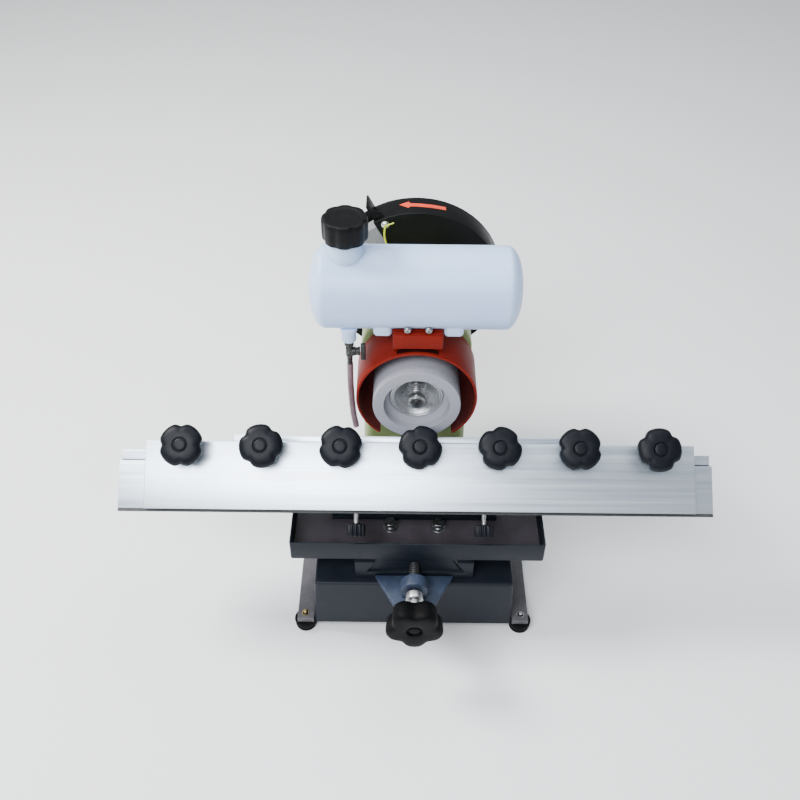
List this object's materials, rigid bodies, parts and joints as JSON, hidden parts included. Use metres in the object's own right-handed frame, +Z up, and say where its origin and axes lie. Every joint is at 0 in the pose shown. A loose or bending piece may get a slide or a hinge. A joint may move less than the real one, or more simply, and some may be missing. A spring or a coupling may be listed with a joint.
{
  "type": "wet grinding sharpener",
  "caption": "Bench machine that wet-grinds long straight knives: cup wheel on a motor, water tank over it, and a sloped clamping carriage on a slide.",
  "frame": {"origin": "on the ground under the middle of the machine's bounding box", "axes": "+X to the operator's right along the knife carriage, +Y away from the operator along the spindle, +Z up"},
  "size_m": [0.684, 0.452, 0.5018],
  "materials": {
    "grey_paint": "satin",
    "green_paint": "gloss",
    "red_paint": "gloss",
    "black_paint": "gloss",
    "aluminium": "brushed",
    "zinc": "satin",
    "black_plastic": "satin",
    "rubber": "matte",
    "tank_plastic": "satin",
    "tap_plastic": "satin",
    "hose_plastic": "satin",
    "wire_plastic": "satin",
    "abrasive_white": "matte",
    "abrasive_grey": "matte",
    "steel_core": "satin",
    "red_plastic": "gloss"
  },
  "bodies": {
    "base": {"base_box": "grey_paint", "base_plate": "grey_paint", "foot_1": "rubber", "foot_2": "rubber", "foot_3": "rubber", "foot_4": "rubber", "dovetail_base": "grey_paint", "screw_bracket": "grey_paint", "motor_pedestal": "green_paint", "switch_bezel": "black_plastic", "motor_housing": "green_paint", "motor_end_front": "green_paint", "motor_end_rear": "green_paint", "stator_core": "steel_core", "bearing_front": "zinc", "bearing_rear": "zinc", "wheel_guard": "red_paint", "guard_bracket": "red_paint", "tank_screw_1": "zinc", "tank_screw_2": "zinc", "water_tank": "tank_plastic", "tap_body": "tap_plastic", "water_hose": "hose_plastic", "rear_guard": "black_paint", "rear_guard_cover": "black_paint", "spark_deflector": "black_paint", "earth_screw": "zinc", "earth_wire": "wire_plastic"},
    "spindle": {"spindle_shaft": "zinc", "rotor_core": "steel_core", "cup_wheel": "abrasive_white", "wheel_flange": "zinc", "spindle_nut": "zinc", "bench_wheel": "abrasive_grey", "bench_flange": "zinc"},
    "table": {"saddle": "grey_paint", "gib_strip": "zinc", "tray": "grey_paint", "tilt_bracket": "grey_paint", "tray_bolt_1": "zinc", "tray_bolt_2": "zinc"},
    "rail": {"guide_rail": "aluminium", "tilt_pin": "zinc"},
    "carriage": {"carriage": "aluminium", "clamp_plate": "aluminium"},
    "feed": {"feed_screw": "zinc", "feed_knob": "black_plastic"},
    "cap": {"tank_cap": "black_plastic"},
    "tap": {"tap_lever": "tap_plastic"},
    "switch": {"switch_rocker": "red_plastic"},
    "knob_1": {"clamp_knob_1": "black_plastic"},
    "knob_2": {"clamp_knob_2": "black_plastic"},
    "knob_3": {"clamp_knob_3": "black_plastic"},
    "knob_4": {"clamp_knob_4": "black_plastic"},
    "knob_5": {"clamp_knob_5": "black_plastic"},
    "knob_6": {"clamp_knob_6": "black_plastic"},
    "knob_7": {"clamp_knob_7": "black_plastic"},
    "stop_1": {"stop_screw_1": "black_plastic"},
    "stop_2": {"stop_screw_2": "black_plastic"}
  },
  "joints": [
    {"name": "spindle_spin", "type": "hinge", "parent": "base", "child": "spindle", "pos_m": [0, 0, 0.289], "axis": [0, 1, 0], "continuous": true},
    {"name": "table_feed", "type": "slide", "parent": "base", "child": "table", "axis": [0, 1, 0], "range_m": [-0.019, 0.002]},
    {"name": "feed_screw_turn", "type": "hinge", "parent": "base", "child": "feed", "pos_m": [0, -0.2155, 0.118], "axis": [0, 1, 0], "range_deg": [-2290, 250]},
    {"name": "rail_tilt", "type": "hinge", "parent": "table", "child": "rail", "pos_m": [0, -0.058, 0.168], "axis": [1, 0, 0], "range_deg": [-8, 0]},
    {"name": "carriage_slide", "type": "slide", "parent": "rail", "child": "carriage", "axis": [1, 0, 0], "range_m": [-0.3, 0.3]},
    {"name": "tank_cap_turn", "type": "hinge", "parent": "base", "child": "cap", "pos_m": [-0.078, 0.019, 0.489], "axis": [0, 0, 1], "continuous": true},
    {"name": "tap_turn", "type": "hinge", "parent": "base", "child": "tap", "pos_m": [-0.0608, -0.008, 0.344], "axis": [1, 0, 0], "range_deg": [0, 90]},
    {"name": "switch_rock", "type": "hinge", "parent": "base", "child": "switch", "pos_m": [0.0655, 0.108, 0.15], "axis": [0, 1, 0], "range_deg": [-8, 8]},
    {"name": "clamp_knob_1_turn", "type": "hinge", "parent": "carriage", "child": "knob_1", "pos_m": [-0.2655, -0.06772, 0.24982], "axis": [0, -0.6361, 0.7716], "continuous": true},
    {"name": "clamp_knob_2_turn", "type": "hinge", "parent": "carriage", "child": "knob_2", "pos_m": [-0.1755, -0.06772, 0.24982], "axis": [0, -0.6361, 0.7716], "continuous": true},
    {"name": "clamp_knob_3_turn", "type": "hinge", "parent": "carriage", "child": "knob_3", "pos_m": [-0.0855, -0.06772, 0.24982], "axis": [0, -0.6361, 0.7716], "continuous": true},
    {"name": "clamp_knob_4_turn", "type": "hinge", "parent": "carriage", "child": "knob_4", "pos_m": [0.0045, -0.06772, 0.24982], "axis": [0, -0.6361, 0.7716], "continuous": true},
    {"name": "clamp_knob_5_turn", "type": "hinge", "parent": "carriage", "child": "knob_5", "pos_m": [0.0945, -0.06772, 0.24982], "axis": [0, -0.6361, 0.7716], "continuous": true},
    {"name": "clamp_knob_6_turn", "type": "hinge", "parent": "carriage", "child": "knob_6", "pos_m": [0.1845, -0.06772, 0.24982], "axis": [0, -0.6361, 0.7716], "continuous": true},
    {"name": "clamp_knob_7_turn", "type": "hinge", "parent": "carriage", "child": "knob_7", "pos_m": [0.2745, -0.06772, 0.24982], "axis": [0, -0.6361, 0.7716], "continuous": true},
    {"name": "stop_screw_1_turn", "type": "hinge", "parent": "carriage", "child": "stop_1", "pos_m": [-0.068, -0.12842, 0.17645], "axis": [0, 0.7716, 0.6361], "continuous": true},
    {"name": "stop_screw_2_turn", "type": "hinge", "parent": "carriage", "child": "stop_2", "pos_m": [0.079, -0.12842, 0.17645], "axis": [0, 0.7716, 0.6361], "continuous": true}
  ],
  "couplings": [
    {"joint": "feed_screw_turn", "follows": "table_feed", "rad_per_m": 2094.4}
  ]
}
